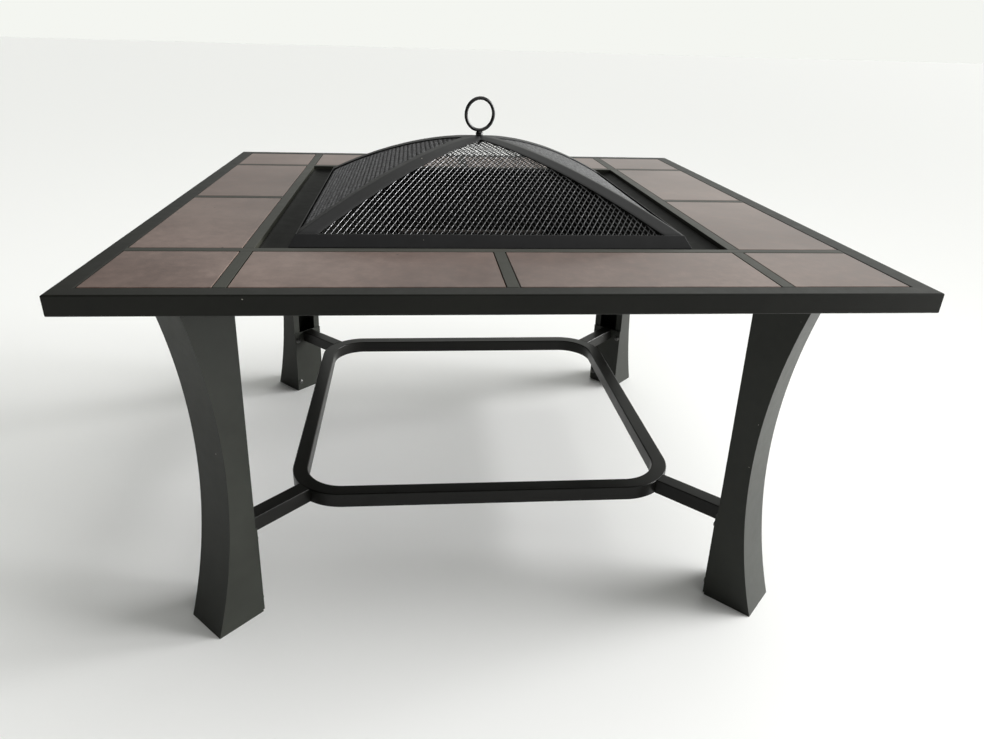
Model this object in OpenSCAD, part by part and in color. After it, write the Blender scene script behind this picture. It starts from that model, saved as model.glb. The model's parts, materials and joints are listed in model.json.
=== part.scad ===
// Square fire pit table: a tiled steel top on four bowed legs, with a lift-out
// fire bowl, a log grate and a domed spark screen. Millimetres, +Z up, origin
// on the floor under the middle of the top, front of the table towards -Y.

/* [Table top] */
// Outer side of the square top
table_side = 813; // [720:1:1000]
// Height of the top above the floor
table_h = 440; // [360:1:540]
// Side of the square tube that frames the top
frame_tube = 20; // [16:1:26]
// Wall of the frame tube
frame_wall = 1.2; // [0.8:0.1:2]
// Radius of the frame tube's outer edges
frame_edge_r = 1.5; // [1:0.1:3]

/* [Tiles] */
// Width of the row of tile pockets round the top
tile_row = 117; // [90:1:130]
// Width of the bars between the pockets
bar_w = 12; // [8:1:16]
// Sheet thickness of the folded bars
bar_t = 1.5; // [1:0.1:2]
// Depth of the tile pockets, which is the tiles' thickness
tile_t = 9; // [7:0.5:12]
// Open joint between a tile and the steel around it
tile_gap = 0.8; // [0.4:0.1:1.5]
// Thickness of the sheets that carry the tiles
tray_t = 1.2; // [0.8:0.1:2]
// Width of the ledge that carries the bowl inside the opening
ledge_w = 22; // [16:1:28]
// Depth of the stiffening fold under the ledge
ledge_fold = 10; // [6:1:16]

/* [Legs] */
// Width of a leg across the table's diagonal
leg_w = 59; // [46:1:70]
// Depth of a foot along the diagonal
foot_depth = 60; // [50:1:75]
// Distance along the diagonal from the frame's corner to a foot
leg_inset = 90; // [75:1:110]
// Radius of the bow in a leg's outer face
leg_bow_r = 695; // [560:5:800]
// Height of the narrowest place of a leg
leg_waist_h = 223; // [180:1:270]
// How far a leg's inner edge leans in over its height
leg_lean = 12; // [0:1:20]
// Sheet thickness of the legs
leg_t = 2; // [1.5:0.1:3]
// Width of the lips folded along a leg's open inner side
leg_lip = 12; // [10:0.5:15]
// Thickness of the cap plate inside a leg's top, and of the corner plates
plate_t = 3; // [2:0.5:4]
// Distance along the diagonal that a corner plate reaches past the leg
corner_plate_reach = 10; // [6:1:20]

/* [Stretcher] */
// Side of the square tube of the stretcher ring and its spokes
ring_tube = 20; // [16:1:24]
// Wall of the stretcher tube
ring_wall = 1.2; // [0.8:0.1:2]
// Outer side of the stretcher ring
ring_side = 508; // [440:1:560]
// Outer corner radius of the stretcher ring
ring_corner_r = 70; // [50:1:90]
// Height of the stretcher's top face above the floor
ring_top = 123; // [90:1:160]
// Length of the sleeves that join the two halves of the ring
joiner_len = 60; // [40:1:80]
// Thickness of the plate that closes each leg's foot
foot_plate_t = 2; // [1.5:0.1:3]
// Height of the foot plate's lower edge above the floor
foot_plate_low = 3; // [2:0.5:8]

/* [Fire bowl] */
// Gap between the bowl's rim and the opening
bowl_gap = 1.2; // [0.8:0.1:2]
// Width of the bowl's flange
flange_w = 34; // [30:1:40]
// Height of the turned-up edge of the flange
rim_h = 4; // [2:0.5:6]
// Depth of the bowl below its flange
bowl_depth = 105; // [80:1:120]
// Side of the bowl's flat floor
bowl_floor = 300; // [280:1:340]
// Sheet thickness of the bowl
bowl_t = 1; // [0.8:0.1:1.5]
// Corner radius of the bowl under its flange
bowl_corner_r = 55; // [40:1:70]
// Gap between pieces that lift off one another
seat_gap = 0.3; // [0.2:0.05:0.5]

/* [Log grate] */
// Side of the square log grate
grate_side = 230; // [200:1:240]
// Diameter of the grate's bars
grate_rod = 8; // [6:0.5:10]
// Number of bars that carry the logs
grate_bars = 7; // [5:1:9]
// Height of the grate's feet below its rails
grate_foot = 24; // [16:1:32]

/* [Spark screen] */
// Distance from the bowl's rim to the screen's base
screen_inset = 28; // [24:1:30]
// Height of the band round the screen's base
band_h = 13; // [10:0.5:18]
// How far the band leans in over its height
band_lean = 8; // [4:0.5:10]
// Sheet thickness of the band and the ribs
band_t = 1.2; // [1:0.1:1.6]
// Rise of the dome from the band to its top
dome_rise = 80; // [60:1:100]
// Fullness of the dome, where 2 is a parabola and 1 a pyramid
dome_power = 1.58; // [1.5:0.01:2]
// Width of each flange of the folded ribs
rib_w = 16; // [14:1:28]
// Thickness of the wire mesh
mesh_t = 1.4; // [1:0.1:2]
// Share of the band's height that the mesh and the ribs tuck behind
tuck = 0.6; // [0.4:0.05:0.8]

/* [Lift ring] */
// Outer diameter of the lift ring
lift_ring_od = 45; // [38:0.5:55]
// Wire diameter of the lift ring
lift_ring_wire = 4.5; // [4:0.1:6]
// Turn of the lift ring about the vertical
lift_ring_turn = 20; // [0:1:45]
// Diameter of the collar under the ring
collar_d = 10; // [8:0.1:13]
// Height of the collar under the ring
collar_h = 6; // [4:0.5:8]

/* [Fasteners] */
// Diameter of the leg bolts and of the lift ring's stud
bolt_d = 6; // [5:0.5:8]
// Width across flats of the bolts' heads and nuts
hex_af = 10; // [9:0.5:13]
// Thickness of a hexagon nut
nut_h = 5; // [4:0.1:5.5]
// Distance between the two bolts of a leg
bolt_pitch = 30; // [24:1:36]
// Diameter of the foot plate screws
screw_d = 5; // [4:0.5:6]
// Head diameter of the foot plate screws
screw_head_d = 9; // [8:0.5:10]
// Distance of the foot plate screws from the plate's upper and lower edges
screw_edge = 16; // [10:1:24]
// Clearance on the diameter of every drilled hole
hole_gap = 0.4; // [0.2:0.1:0.8]

/* [Hidden] */
$fn = 64;
eps = 0.01;
reach = 2000;

// The four sides and corners by the angle that each one faces.
front = 0; right = 90; back = 180; left = 270;
front_left = 225; front_right = 315; back_right = 45; back_left = 135;
corners = [front_left, front_right, back_right, back_left];

// Table top
table_half = table_side / 2;
frame_in = table_half - frame_tube;
pocket_in = frame_in - tile_row;
open_half = pocket_in - bar_w;
long_pocket = open_half - bar_w / 2;
row_at = frame_in - tile_row / 2;
long_at = bar_w / 2 + long_pocket / 2;
tray_top = table_h - tile_t;
ledge_in = open_half - ledge_w;

// Legs, measured along a diagonal from the table's middle
frame_corner = table_half * sqrt(2);
leg_top = table_h - frame_tube;
foot_out = frame_corner - leg_inset;
foot_in = foot_out - foot_depth;
bow_at = foot_out + sqrt(pow(leg_bow_r, 2) - pow(leg_waist_h, 2));
function leg_in(z) = foot_in - leg_lean * z / leg_top;
// Angle that a leg's inner edge leans by, which the foot plates and their screws share
leg_lean_angle = atan(leg_lean / leg_top);
function leg_out(z) = bow_at - sqrt(pow(leg_bow_r, 2) - pow(z - leg_waist_h, 2));
cap_at = (leg_in(leg_top) + leg_out(leg_top)) / 2;
corner_plate_in = leg_in(leg_top) - corner_plate_reach;
frame_in_corner = frame_in * sqrt(2);

// Stretcher
ring_low = ring_top - ring_tube;
ring_half = ring_side / 2;
ring_corner_at = (ring_half - ring_corner_r) * sqrt(2);
screw_out = leg_w / 2 - leg_lip / 2;
screw_heights = [foot_plate_low + screw_edge, ring_top - screw_edge];
screw_len = foot_plate_t + leg_t + 5;
screw_head_h = 2.5;

// Bowl and grate
rim_half = open_half - bowl_gap;
flange_low = tray_top + seat_gap;
flange_top = flange_low + bowl_t;
bowl_mouth = rim_half - flange_w;
bowl_low = flange_top - bowl_depth;
// Height and width of the bevel between the bowl's wall and its floor
bowl_heel_h = 14;
bowl_heel_w = 16;
grate_foot_at = bowl_low + bowl_t + seat_gap;
grate_rail_at = grate_foot_at + grate_foot + grate_rod / 2;
// Bars sink a little into the rails, as a weld does
weld_sink = 0.8;
grate_bar_at = grate_rail_at + grate_rod - weld_sink;
grate_rail_out = grate_side / 2 - 30;

// Screen
base_half = rim_half - screen_inset;
base_low = flange_top + seat_gap;
band_top = base_low + band_h;
dome_half = base_half - band_lean - band_t;
dome_top = band_top + dome_rise;
dome_steps = 14;
rib_span = rib_w * sqrt(2);
function dome_z(m) = dome_top - dome_rise * pow(m / dome_half, dome_power);

// Lift ring
ring_r = (lift_ring_od - lift_ring_wire) / 2;
collar_top = dome_top + collar_h;
lift_ring_at = collar_top + ring_r + lift_ring_wire / 4;
// The nut seats where its corners meet the underside of the sloping mesh
nut_corner = hex_af / cos(30) / 2;
first_step = dome_half / dome_steps;
nut_drop = (dome_top - dome_z(first_step)) * nut_corner / first_step;
ring_nut_top = dome_top - nut_drop - band_t - mesh_t;
// Length of the stud that shows below its nut
stud_end = 4;

// A square with true round corners
module round_square(side, r) {
    square([side - 2 * r, side], center = true);
    square([side, side - 2 * r], center = true);
    for (x = [-1, 1], y = [-1, 1])
        translate([x * (side / 2 - r), y * (side / 2 - r)]) circle(r);
}

// A profile in Y and Z, drawn out along X
module along_x(length) rotate([90, 0, 90]) linear_extrude(length, center = true) children();

// A profile in X and Z, drawn out along Y
module along_y(length) rotate([90, 0, 0]) linear_extrude(length, center = true) children();

// One side's share of a square of the given half side, front side
module side_wedge(half) linear_extrude(reach) polygon([[0, 0], [-half, -half], [half, -half]]);

module frame_rail(side) color("#2b2d2b") rotate(side) intersection() {
    translate([0, -table_half + frame_tube / 2, table_h - frame_tube / 2]) along_x(table_side)
        difference() {
            round_square(frame_tube, frame_edge_r);
            square(frame_tube - 2 * frame_wall, center = true);
        }
    side_wedge(table_half);
}

// A bar folded from sheet, open below, that stands on the tile trays
module folded_bar(length) translate([0, 0, tray_top]) difference() {
    translate([-length / 2, -bar_w / 2, 0]) cube([length, bar_w, tile_t]);
    translate([-length / 2 - 1, -bar_w / 2 + bar_t, -1]) cube([length + 2, bar_w - 2 * bar_t, tile_t - bar_t + 1]);
}

module cross_bar(side) color("#3a3c38") rotate(side)
    translate([0, -open_half - bar_w / 2, 0]) folded_bar(2 * frame_in);

module side_bar(side) color("#3a3c38") rotate(side)
    translate([0, -open_half - bar_w / 2, 0]) folded_bar(2 * open_half);

// The short bars between two tiles: one in the middle of each side, and one
// on each side of the corner tiles
module tile_dividers() color("#3a3c38") {
    for (side = [front, right, back, left]) rotate(side)
        translate([0, -row_at, 0]) rotate(90) folded_bar(tile_row);
    for (side = [front, back], x = [-1, 1]) rotate(side)
        translate([x * (open_half + bar_w / 2), -row_at, 0]) rotate(90) folded_bar(tile_row);
}

// A sheet under one row of tiles. It runs into the opening as the bowl's ledge.
module tile_tray(side, half_length) color("#2b2d2b") rotate(side) {
    translate([-half_length, -frame_in, tray_top - tray_t])
        cube([2 * half_length, frame_in - ledge_in, tray_t]);
    translate([-ledge_in, -ledge_in - tray_t, tray_top - tray_t - ledge_fold])
        cube([2 * ledge_in, tray_t, ledge_fold]);
}

module tile(x, y, width, depth) color("#8a6f66") translate([x, y, tray_top + tile_t / 2])
    cube([width - 2 * tile_gap, depth - 2 * tile_gap, tile_t], center = true);

module corner_tile(x, y) tile(x * row_at, y * row_at, tile_row, tile_row);

module row_tile(x, y) tile(x * long_at, y * row_at, long_pocket, tile_row);

module side_tile(x, y) tile(x * row_at, y * long_at, tile_row, long_pocket);

// Side view of a leg, taken in from its true outline by the given amounts
module leg_outline(off_out, off_in, low, high) difference() {
    polygon([[leg_in(low) + off_in, low], [leg_in(high) + off_in, high], [bow_at, high], [bow_at, low]]);
    translate([bow_at, leg_waist_h]) circle(leg_bow_r + off_out, $fn = 256);
}

module leg_bolt_places() for (y = [-1, 1]) translate([cap_at, y * bolt_pitch / 2, leg_top]) children();

module screw_places() for (y = [-1, 1], z = screw_heights)
    translate([leg_in(z), y * screw_out, z]) rotate([0, 90 - leg_lean_angle, 0]) children();

// A leg folded from sheet, open along its inner side between two lips, with a
// foot and a cap plate
module leg(corner) color("#323532") rotate(corner) difference() {
    along_y(leg_w) leg_outline(0, 0, 0, leg_top);
    along_y(leg_w - 2 * leg_t) leg_outline(leg_t, leg_t, leg_t, leg_top - plate_t);
    along_y(leg_w - 2 * leg_lip) leg_outline(leg_t, -1, leg_t, leg_top - plate_t);
    leg_bolt_places() cylinder(d = bolt_d + hole_gap, h = 4 * plate_t, center = true);
    screw_places() cylinder(d = screw_d + hole_gap, h = 4 * leg_t, center = true);
}

// The plate in the frame's corner that a leg is bolted to
module corner_plate(corner) color("#2b2d2b") rotate(corner) difference() {
    half = frame_in_corner - corner_plate_in;
    translate([0, 0, leg_top]) linear_extrude(plate_t)
        polygon([[corner_plate_in, -half], [frame_in_corner, 0], [corner_plate_in, half]]);
    leg_bolt_places() cylinder(d = bolt_d + hole_gap, h = 4 * plate_t, center = true);
}

module leg_bolts() color("#55585a") for (corner = corners) rotate(corner) leg_bolt_places() {
    translate([0, 0, -plate_t - nut_h]) cylinder(d = hex_af / cos(30), h = nut_h, $fn = 6);
    translate([0, 0, -plate_t - eps]) cylinder(d = bolt_d, h = 2 * plate_t + nut_h);
    translate([0, 0, plate_t]) cylinder(d = hex_af / cos(30), h = nut_h, $fn = 6);
}

// The plate that closes a foot and carries the spoke
module foot_plate(corner) color("#323532") rotate(corner) difference() {
    along_y(leg_w) polygon([for (p = [[1, 0], [1, 1], [0, 1], [0, 0]])
        let (z = p[1] ? ring_top : foot_plate_low) [leg_in(z) - p[0] * foot_plate_t, z]]);
    screw_places() cylinder(d = screw_d + hole_gap, h = 4 * foot_plate_t, center = true);
}

module foot_plate_screws() color("#55585a") for (corner = corners) rotate(corner) screw_places() {
    translate([0, 0, -foot_plate_t - screw_head_h])
        cylinder(d1 = screw_head_d - 3, d2 = screw_head_d, h = screw_head_h);
    translate([0, 0, -foot_plate_t - eps]) cylinder(d = screw_d, h = screw_len);
}

// Side view of a spoke, from inside the ring's corner to the foot plate
module spoke_outline(off, start) polygon([[start, ring_low + off], [start, ring_top - off],
    [leg_in(ring_top) - foot_plate_t + (off ? 1 : 0), ring_top - off],
    [leg_in(ring_low) - foot_plate_t + (off ? 1 : 0), ring_low + off]]);

module spoke(corner) color("#2b2d2b") rotate(corner) difference() {
    along_y(ring_tube) spoke_outline(0, ring_corner_at);
    along_y(ring_tube - 2 * ring_wall) spoke_outline(ring_wall, ring_corner_at);
    translate([ring_corner_at, 0, 0]) cylinder(r = ring_corner_r, h = reach);
}

// Plan of the ring's tube, taken in by the given amount on both sides
module ring_plan(off) difference() {
    round_square(ring_side - 2 * off, ring_corner_r - off);
    round_square(ring_side - 2 * ring_tube + 2 * off, ring_corner_r - ring_tube + off);
}

module ring_half(side) color("#2b2d2b") rotate(side) intersection() {
    translate([0, 0, ring_low]) difference() {
        linear_extrude(ring_tube) ring_plan(0);
        translate([0, 0, ring_wall]) linear_extrude(ring_tube - 2 * ring_wall) ring_plan(ring_wall);
    }
    translate([-ring_side, -2 * ring_side, 0]) cube([2 * ring_side, 2 * ring_side, reach]);
}

module ring_joiners() color("#55585a") for (x = [-1, 1])
    translate([x * (ring_half - ring_tube / 2), 0, ring_low + ring_tube / 2]) difference() {
        cube([ring_tube - 2 * ring_wall, joiner_len, ring_tube - 2 * ring_wall], center = true);
        cube([ring_tube - 4 * ring_wall, joiner_len + 1, ring_tube - 4 * ring_wall], center = true);
    }

// The bowl's basin, taken in by the given amount
module basin(off) hull() {
    translate([0, 0, flange_top - eps]) linear_extrude(off ? 1 : eps)
        round_square(2 * (bowl_mouth - off), bowl_corner_r - off, $fn = 32);
    translate([0, 0, bowl_low + bowl_heel_h]) linear_extrude(eps)
        round_square(bowl_floor + 2 * (bowl_heel_w - off), bowl_corner_r - off, $fn = 32);
    translate([0, 0, bowl_low + off]) linear_extrude(eps)
        round_square(bowl_floor - off, bowl_corner_r - off, $fn = 32);
}

module fire_bowl() color("#26282a") difference() {
    union() {
        translate([0, 0, flange_low]) linear_extrude(bowl_t) round_square(2 * rim_half, rim_h);
        translate([0, 0, flange_low]) linear_extrude(rim_h) difference() {
            round_square(2 * rim_half, rim_h);
            round_square(2 * (rim_half - bowl_t), rim_h - bowl_t);
        }
        basin(0);
    }
    basin(bowl_t);
}

module log_grate() color("#1d1d1d") {
    for (x = [-1, 1]) translate([x * grate_rail_out, 0, grate_rail_at])
        rotate([90, 0, 0]) cylinder(d = grate_rod, h = grate_side, center = true);
    for (i = [0 : grate_bars - 1])
        translate([0, (i / (grate_bars - 1) - 0.5) * (grate_side - grate_rod), grate_bar_at])
            rotate([0, 90, 0]) cylinder(d = grate_rod, h = grate_side, center = true);
    for (x = [-1, 1], y = [-1, 1])
        translate([x * grate_rail_out, y * (grate_side / 2 - grate_rod), grate_foot_at])
            cylinder(d = grate_rod, h = grate_rail_at - grate_foot_at);
}

module screen_base() color("#2a2a2c") for (side = [front, right, back, left]) rotate(side)
    intersection() {
        along_x(2 * base_half) polygon([[-base_half, base_low], [-base_half + band_t, base_low],
            [-base_half + band_lean + band_t, band_top], [-base_half + band_lean, band_top]]);
        side_wedge(base_half);
    }

// Points of the dome's section at a depth below its outer face, from the top
// to the end that tucks behind the band
function dome_line(off) = concat(
    [for (i = [0 : dome_steps - 1]) let (m = dome_half * i / dome_steps) [-m, dome_z(m) - off]],
    [[-dome_half + off, band_top - off],
     [-dome_half - band_lean * tuck + off, band_top - band_h * tuck]]);

// A layer of the dome between two depths, drawn out along the front side
module dome_layer(outer, inner) along_x(2 * base_half) polygon(concat(dome_line(outer),
    [for (i = [len(dome_line(0)) - 1 : -1 : 0]) dome_line(inner)[i]]));

module stud_hole() cylinder(d = bolt_d + hole_gap, h = reach);

// One flange of a rib, along the left edge of the front side
module rib_flange() intersection() {
    dome_layer(0, band_t);
    linear_extrude(reach) polygon([[0, 0], [-base_half, -base_half],
        [-base_half + rib_span, -base_half], [0, -rib_span]]);
}

// A rib folded over one corner of the dome
module rib(side) color("#3c3c3e") rotate(side) difference() {
    union() {
        rib_flange();
        rotate(-90) mirror([1, 0, 0]) rib_flange();
    }
    stud_hole();
}

module mesh_panel(side) color("#1e1e20") rotate(side) difference() {
    intersection() {
        dome_layer(band_t, band_t + mesh_t);
        side_wedge(base_half);
    }
    stud_hole();
}

// The ring, its collar and the stud below it, in one piece
module lift_ring() color("#1c1c1c") rotate(lift_ring_turn) {
    translate([0, 0, lift_ring_at]) rotate([90, 0, 0])
        rotate_extrude() translate([ring_r, 0]) circle(d = lift_ring_wire);
    translate([0, 0, dome_top]) rotate_extrude() polygon([[0, 0], [collar_d / 2 - 1, 0],
        [collar_d / 2, 1], [collar_d / 2, collar_h - 2], [collar_d / 2 - 2, collar_h], [0, collar_h]]);
    translate([0, 0, ring_nut_top - nut_h - stud_end])
        cylinder(d = bolt_d, h = collar_top + eps - ring_nut_top + nut_h + stud_end);
}

module ring_nut() color("#1c1c1c") translate([0, 0, ring_nut_top - nut_h]) difference() {
    cylinder(d = hex_af / cos(30), h = nut_h, $fn = 6);
    translate([0, 0, -1]) cylinder(d = bolt_d + hole_gap / 2, h = nut_h + 2);
}

frame_rail(front);  // frame_rail_front
frame_rail(right);  // frame_rail_right
frame_rail(back);  // frame_rail_back
frame_rail(left);  // frame_rail_left
cross_bar(front);  // cross_bar_front
cross_bar(back);  // cross_bar_back
side_bar(left);  // side_bar_left
side_bar(right);  // side_bar_right
tile_dividers();
tile_tray(front, frame_in);  // tile_tray_front
tile_tray(back, frame_in);  // tile_tray_back
tile_tray(left, ledge_in);  // tile_tray_left
tile_tray(right, ledge_in);  // tile_tray_right
corner_tile(-1, -1);  // tile_corner_front_left
row_tile(-1, -1);  // tile_front_left
row_tile(1, -1);  // tile_front_right
corner_tile(1, -1);  // tile_corner_front_right
side_tile(1, -1);  // tile_right_front
side_tile(1, 1);  // tile_right_back
corner_tile(1, 1);  // tile_corner_back_right
row_tile(1, 1);  // tile_back_right
row_tile(-1, 1);  // tile_back_left
corner_tile(-1, 1);  // tile_corner_back_left
side_tile(-1, 1);  // tile_left_back
side_tile(-1, -1);  // tile_left_front
leg(front_left);  // leg_front_left
leg(front_right);  // leg_front_right
leg(back_right);  // leg_back_right
leg(back_left);  // leg_back_left
corner_plate(front_left);  // corner_plate_front_left
corner_plate(front_right);  // corner_plate_front_right
corner_plate(back_right);  // corner_plate_back_right
corner_plate(back_left);  // corner_plate_back_left
leg_bolts();
foot_plate(front_left);  // foot_plate_front_left
foot_plate(front_right);  // foot_plate_front_right
foot_plate(back_right);  // foot_plate_back_right
foot_plate(back_left);  // foot_plate_back_left
foot_plate_screws();
spoke(front_left);  // spoke_front_left
spoke(front_right);  // spoke_front_right
spoke(back_right);  // spoke_back_right
spoke(back_left);  // spoke_back_left
ring_half(front);  // ring_half_front
ring_half(back);  // ring_half_back
ring_joiners();
fire_bowl();
log_grate();
screen_base();
rib(front);  // rib_front_left
rib(right);  // rib_front_right
rib(back);  // rib_back_right
rib(left);  // rib_back_left
mesh_panel(front);  // mesh_panel_front
mesh_panel(right);  // mesh_panel_right
mesh_panel(back);  // mesh_panel_back
mesh_panel(left);  // mesh_panel_left
lift_ring();
ring_nut();
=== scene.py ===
# %% [markdown]
# # A tiled fire pit table
# The object is a square steel table with twelve glazed tiles round an opening.
# A fire bowl hangs in the opening, a log grate stands in the bowl, and a domed
# spark screen covers both. The measured model gives every piece its place, and
# this lesson gives each piece its edges, its fine shape and its finish.

# %% Load the measured model
import json
import math

import bmesh
import bpy
from mathutils import Matrix, Vector

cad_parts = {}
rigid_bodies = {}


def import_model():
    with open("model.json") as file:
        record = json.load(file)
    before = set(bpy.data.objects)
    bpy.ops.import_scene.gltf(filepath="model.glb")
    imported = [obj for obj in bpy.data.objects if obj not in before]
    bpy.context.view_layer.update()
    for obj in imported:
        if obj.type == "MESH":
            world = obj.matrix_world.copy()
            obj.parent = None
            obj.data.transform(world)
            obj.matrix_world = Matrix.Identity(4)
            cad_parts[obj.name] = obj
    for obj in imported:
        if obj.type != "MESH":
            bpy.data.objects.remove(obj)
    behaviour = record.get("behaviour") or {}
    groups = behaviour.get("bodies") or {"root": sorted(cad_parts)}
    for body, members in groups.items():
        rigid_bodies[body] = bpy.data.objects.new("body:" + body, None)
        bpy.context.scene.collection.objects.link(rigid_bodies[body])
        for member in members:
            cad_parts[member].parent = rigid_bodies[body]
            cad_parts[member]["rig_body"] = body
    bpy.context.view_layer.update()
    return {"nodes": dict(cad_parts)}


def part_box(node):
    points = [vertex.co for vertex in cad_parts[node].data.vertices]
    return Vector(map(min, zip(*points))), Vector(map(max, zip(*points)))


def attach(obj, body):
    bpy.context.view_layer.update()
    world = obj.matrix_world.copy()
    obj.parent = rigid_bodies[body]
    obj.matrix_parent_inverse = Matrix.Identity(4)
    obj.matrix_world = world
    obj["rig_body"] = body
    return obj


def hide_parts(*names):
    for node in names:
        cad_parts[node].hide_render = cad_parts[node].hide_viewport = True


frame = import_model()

MM = 0.001
nodes = frame["nodes"]

# %% [markdown]
# ## The camera
# The table is seen from the front, a little left of its middle and from about
# 25 degrees above. A camera's matrix can be built as three turns: heading about
# the vertical, tilt down, and roll about its own line of sight. Written that way,
# each number keeps a meaning and can be changed by itself.

# %% Camera
IMAGE_WIDTH = 984
heading, tilt, roll = -0.09396, 0.44012, 0.029046
camera_place = Vector((-0.0924, -1.0016, 0.6473))
camera = bpy.data.objects.new("camera", bpy.data.cameras.new("camera"))
bpy.context.scene.collection.objects.link(camera)
bpy.context.scene.camera = camera
camera.matrix_world = (Matrix.Translation(camera_place) @ Matrix.Rotation(heading, 4, "Z")
                       @ Matrix.Rotation(math.pi / 2 - tilt, 4, "X") @ Matrix.Rotation(roll, 4, "Z"))
camera.data.sensor_width = 36
camera.data.lens = 25.926
OFF_CENTRE = (18, 0.5)
camera.data.shift_x = OFF_CENTRE[0] / IMAGE_WIDTH
camera.data.shift_y = OFF_CENTRE[1] / IMAGE_WIDTH
print("lens in mm:", camera.data.lens)

# %% [markdown]
# ## Nodes in few words
# A material and a Geometry Nodes tree are both made of nodes and links. One small
# helper adds a node to either, sets its options, and fills its inputs, with a link
# where the value is another node's socket and with a plain number otherwise.


# %% Helpers for node trees
def add(tree, kind, inputs=None, **options):
    """A new node of this kind, with its options set and its inputs filled or linked."""
    made = tree.nodes.new(kind)
    for option, value in options.items():
        setattr(made, option, value)
    for key, value in (inputs or {}).items():
        if isinstance(value, bpy.types.NodeSocket):
            tree.links.new(value, made.inputs[key])
        else:
            made.inputs[key].default_value = value
    return made


def maths(tree, operation, first, second=0.0):
    """The result of one arithmetic step between two numbers or sockets."""
    return add(tree, "ShaderNodeMath", {0: first, 1: second}, operation=operation).outputs[0]


def cloud(tree, where, scale, detail=4.0, roughness=0.55):
    """Smooth random values between 0 and 1, about 1/scale metres across."""
    found = add(tree, "ShaderNodeTexNoise",
                {"Vector": where, "Scale": scale, "Detail": detail, "Roughness": roughness})
    return found.outputs[0]


def between(tree, value, low, high):
    """A value from 0 to 1 stretched to run from low to high."""
    return add(tree, "ShaderNodeMapRange", {"Value": value, "To Min": low, "To Max": high}).outputs[0]


def colours(tree, value, stops):
    """Colours that follow a value, from (position, red, green, blue) stops."""
    ramp = add(tree, "ShaderNodeValToRGB", {"Fac": value})
    band = ramp.color_ramp
    while len(band.elements) < len(stops):
        band.elements.new(0.5)
    for element, (position, red, green, blue) in zip(band.elements, stops):
        element.position = position
        element.color = (red, green, blue, 1)
    return ramp.outputs["Color"]


def mixed(tree, amount, first, second):
    """The first colour where amount is 0 and the second where it is 1."""
    blend = add(tree, "ShaderNodeMix", data_type="RGBA")
    for socket, value in ((blend.inputs[0], amount), (blend.inputs[6], first), (blend.inputs[7], second)):
        if isinstance(value, bpy.types.NodeSocket):
            tree.links.new(value, socket)
        else:
            socket.default_value = value
    return blend.outputs[2]


def specks(tree, where, scale, size, share):
    """1 inside small round specks, which sit in the given share of the cells."""
    cells = add(tree, "ShaderNodeTexVoronoi", {"Vector": where, "Scale": scale})
    chance = add(tree, "ShaderNodeSeparateColor", {"Color": cells.outputs["Color"]}).outputs[0]
    small = maths(tree, "LESS_THAN", cells.outputs["Distance"], size)
    return maths(tree, "MULTIPLY", small, maths(tree, "LESS_THAN", chance, share))


# %% [markdown]
# ## Powder coat
# Almost all of the steel here is powder coated. The powder melts into a skin with
# a faint orange peel, never quite even in gloss, and it holds dust and small
# chips. Three layers of noise give that: a broad one for colour, a middle one for
# gloss, and a fine one for the peel. They read Object coordinates, which are real
# metres here, so the peel has its true size on a long rail and on a small band.


# %% Powder coat
def new_finish(name):
    """A material with its tree, its shader and its Object coordinates."""
    material = bpy.data.materials.new(name)
    material.use_nodes = True
    tree = material.node_tree
    where = add(tree, "ShaderNodeTexCoord").outputs["Object"]
    return material, tree, tree.nodes["Principled BSDF"], where


def powder_coat(name, deep, pale, gloss, peel=0.12, dust=0.06, shine=0.22):
    """A charcoal coat between two colours, with gloss as its lowest roughness."""
    material, tree, skin, where = new_finish(name)
    broad = cloud(tree, where, 9, detail=5)
    middle = cloud(tree, where, 70, detail=6, roughness=0.6)
    fine = cloud(tree, where, 1100, detail=2)
    stirred = maths(tree, "ADD", maths(tree, "MULTIPLY", broad, 0.7), maths(tree, "MULTIPLY", middle, 0.3))
    body = colours(tree, stirred, [(0.3, *deep), (0.7, *pale)])
    chips = specks(tree, where, 75, 0.05, dust)
    tree.links.new(mixed(tree, chips, body, (0.34, 0.33, 0.29, 1)), skin.inputs["Base Color"])
    tree.links.new(between(tree, middle, gloss, gloss + 0.16), skin.inputs["Roughness"])
    height = maths(tree, "ADD", fine, maths(tree, "MULTIPLY", middle, 0.5))
    bump = add(tree, "ShaderNodeBump", {"Strength": peel, "Distance": 0.0002, "Height": height})
    tree.links.new(bump.outputs[0], skin.inputs["Normal"])
    skin.inputs["Specular IOR Level"].default_value = shine
    return material


frame_coat = powder_coat("charcoal_frame_coat", (0.004, 0.0044, 0.003), (0.009, 0.0094, 0.0068), 0.36,
                         shine=0.18)
bar_coat = powder_coat("grey_green_bar_coat", (0.022, 0.023, 0.018), (0.044, 0.044, 0.035), 0.36)
leg_coat = powder_coat("charcoal_leg_coat", (0.011, 0.012, 0.009), (0.023, 0.025, 0.020), 0.42, peel=0.2,
                         shine=0.26)
ring_coat = powder_coat("black_stretcher_coat", (0.004, 0.004, 0.0035), (0.009, 0.009, 0.0075), 0.26)
screen_coat = powder_coat("charcoal_screen_coat", (0.014, 0.014, 0.0145), (0.025, 0.025, 0.026), 0.42)
bowl_coat = powder_coat("satin_bowl_coat", (0.003, 0.0031, 0.0027), (0.007, 0.0072, 0.006), 0.44, shine=0.05)
handle_coat = powder_coat("gloss_black_handle_coat", (0.004, 0.004, 0.004), (0.008, 0.008, 0.008), 0.18,
                          shine=0.4)
print("powder coats:", len([m for m in bpy.data.materials if m.name.endswith("coat")]))
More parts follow.
